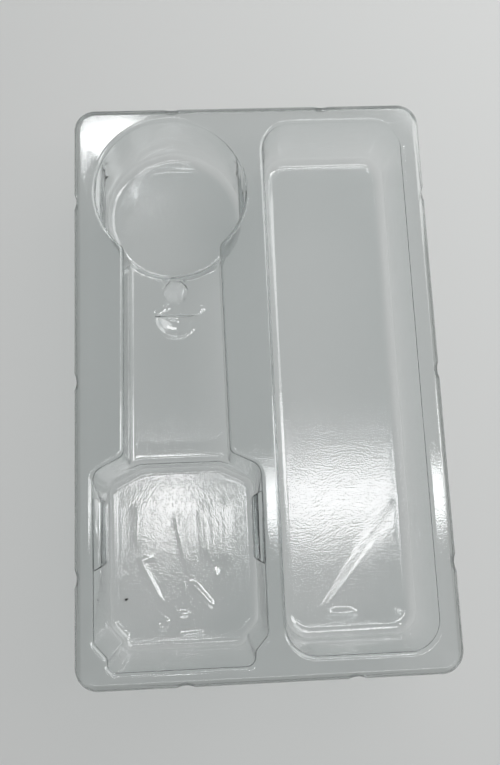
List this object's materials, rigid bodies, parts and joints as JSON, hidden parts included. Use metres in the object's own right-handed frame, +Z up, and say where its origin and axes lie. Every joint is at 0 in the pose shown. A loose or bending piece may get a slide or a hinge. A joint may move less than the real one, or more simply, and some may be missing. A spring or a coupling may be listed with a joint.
{
  "type": "formed insert tray",
  "caption": "Clear formed plastic insert tray with a long rounded pocket beside a keyed cavity of round head, narrow neck and square base, under a flat land and turned-down rim.",
  "frame": {"origin": "on the table, under the middle of the rim's outline", "axes": "+X across the tray towards the long pocket, +Y along it towards the round head, +Z up from the table to the land"},
  "size_m": [0.1826, 0.291, 0.0405],
  "materials": {
    "clear_sheet": "clear PET sheet, vacuum formed, glossy with a fine frosting on the pocket floors"
  },
  "bodies": {
    "root": {"insert_tray": "clear_sheet"}
  },
  "joints": []
}
